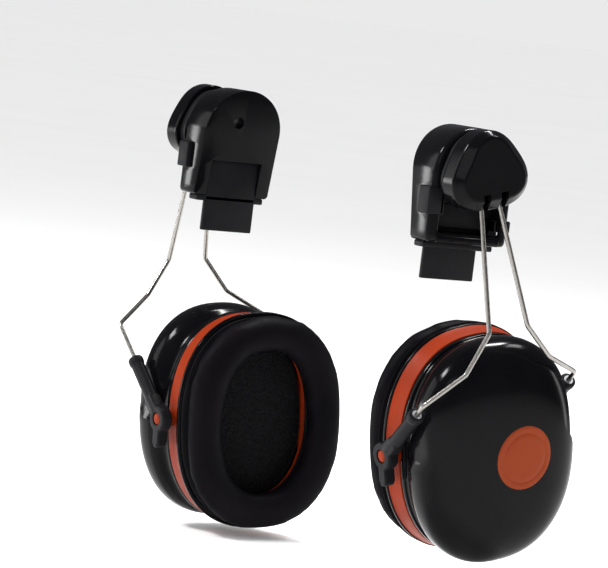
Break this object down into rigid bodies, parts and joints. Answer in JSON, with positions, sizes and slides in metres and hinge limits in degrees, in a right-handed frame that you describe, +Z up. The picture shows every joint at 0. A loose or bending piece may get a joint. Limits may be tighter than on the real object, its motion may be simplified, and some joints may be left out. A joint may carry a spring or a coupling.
{
  "type": "helmet-mounted hearing protector",
  "caption": "Pair of ear cups for an industrial helmet: slot-in adapters, swivelling arm heads, wire forks with sliding arms, and domed cups with soft oval cushions that tilt.",
  "frame": {"origin": "midway between the two arm heads, on their common swivel axis, where the middle of the helmet would be", "axes": "+X to the wearer's left, +Y to the wearer's rear, +Z up"},
  "size_m": [0.2746, 0.1202, 0.2232],
  "materials": {
    "gloss_shell": "gloss",
    "satin_plastic": "satin",
    "orange_plastic": "satin",
    "orange_badge": "satin",
    "steel": "satin",
    "fork_steel": "polished",
    "cushion_skin": "satin",
    "foam": "matte"
  },
  "bodies": {
    "root": {"left_adapter_housing": "gloss_shell", "left_slot_blade": "satin_plastic", "left_lock_clip": "satin_plastic", "left_swivel_stud": "steel", "left_friction_washer": "steel", "left_detent_spring": "steel", "right_adapter_housing": "gloss_shell", "right_slot_blade": "satin_plastic", "right_lock_clip": "satin_plastic", "right_swivel_stud": "steel", "right_friction_washer": "steel", "right_detent_spring": "steel"},
    "left_head": {"left_head_base": "satin_plastic", "left_head_cap": "gloss_shell", "left_head_screws": "steel", "left_hinge_pin": "steel", "left_pressure_spring": "steel"},
    "left_fork": {"left_wire_carrier": "satin_plastic", "left_fork_wire_front": "fork_steel", "left_fork_wire_rear": "fork_steel"},
    "left_arms": {"left_arm_front": "satin_plastic", "left_arm_rear": "satin_plastic", "left_grip_sleeves": "steel"},
    "left_cup": {"left_pivot_pin_front": "orange_plastic", "left_pivot_pin_rear": "orange_plastic", "left_outer_shell": "gloss_shell", "left_mid_ring": "orange_plastic", "left_base_flange": "gloss_shell", "left_cushion_backplate": "satin_plastic", "left_cushion_ring": "cushion_skin", "left_foam_liner": "foam", "left_damping_foam": "foam", "left_badge": "orange_badge"},
    "right_head": {"right_head_base": "satin_plastic", "right_head_cap": "gloss_shell", "right_head_screws": "steel", "right_hinge_pin": "steel", "right_pressure_spring": "steel"},
    "right_fork": {"right_wire_carrier": "satin_plastic", "right_fork_wire_front": "fork_steel", "right_fork_wire_rear": "fork_steel"},
    "right_arms": {"right_arm_front": "satin_plastic", "right_arm_rear": "satin_plastic", "right_grip_sleeves": "steel"},
    "right_cup": {"right_pivot_pin_front": "orange_plastic", "right_pivot_pin_rear": "orange_plastic", "right_outer_shell": "gloss_shell", "right_mid_ring": "orange_plastic", "right_base_flange": "gloss_shell", "right_cushion_backplate": "satin_plastic", "right_cushion_ring": "cushion_skin", "right_foam_liner": "foam", "right_damping_foam": "foam", "right_badge": "orange_badge"}
  },
  "joints": [
    {"name": "left_head_swivel", "type": "hinge", "parent": "root", "child": "left_head", "pos_m": [0.118, 0, 0], "axis": [1, 0, 0], "range_deg": [-38.5, 76.5]},
    {"name": "left_fork_swing", "type": "hinge", "parent": "left_head", "child": "left_fork", "pos_m": [0.125, 0.00117, -0.00486], "axis": [0, -0.9724, -0.2334], "range_deg": [0, 18], "stiffness_Nm_per_rad": 2, "springref_deg": -8.59, "deforming": ["left_pressure_spring"]},
    {"name": "left_arm_slide", "type": "slide", "parent": "left_fork", "child": "left_arms", "axis": [-0.766, 0.1501, -0.625], "range_m": [0, 0.022]},
    {"name": "left_cup_tilt", "type": "hinge", "parent": "left_arms", "child": "left_cup", "pos_m": [0.0882, 0.03161, -0.13168], "axis": [0, 0.9724, 0.2334], "range_deg": [-21, 9]},
    {"name": "right_head_swivel", "type": "hinge", "parent": "root", "child": "right_head", "pos_m": [-0.118, 0, 0], "axis": [1, 0, 0], "range_deg": [-31.4, 83.6]},
    {"name": "right_fork_swing", "type": "hinge", "parent": "right_head", "child": "right_fork", "pos_m": [-0.125, 0.00056, -0.00497], "axis": [0, 0.9938, 0.1115], "range_deg": [-5, 13], "stiffness_Nm_per_rad": 2, "deforming": ["right_pressure_spring"]},
    {"name": "right_arm_slide", "type": "slide", "parent": "right_fork", "child": "right_arms", "axis": [0.7071, 0.0788, -0.7027], "range_m": [-0.015, 0.007]},
    {"name": "right_cup_tilt", "type": "hinge", "parent": "right_arms", "child": "right_cup", "pos_m": [-0.0891, 0.01658, -0.14781], "axis": [0, -0.9938, -0.1115], "range_deg": [-20, 10]}
  ]
}
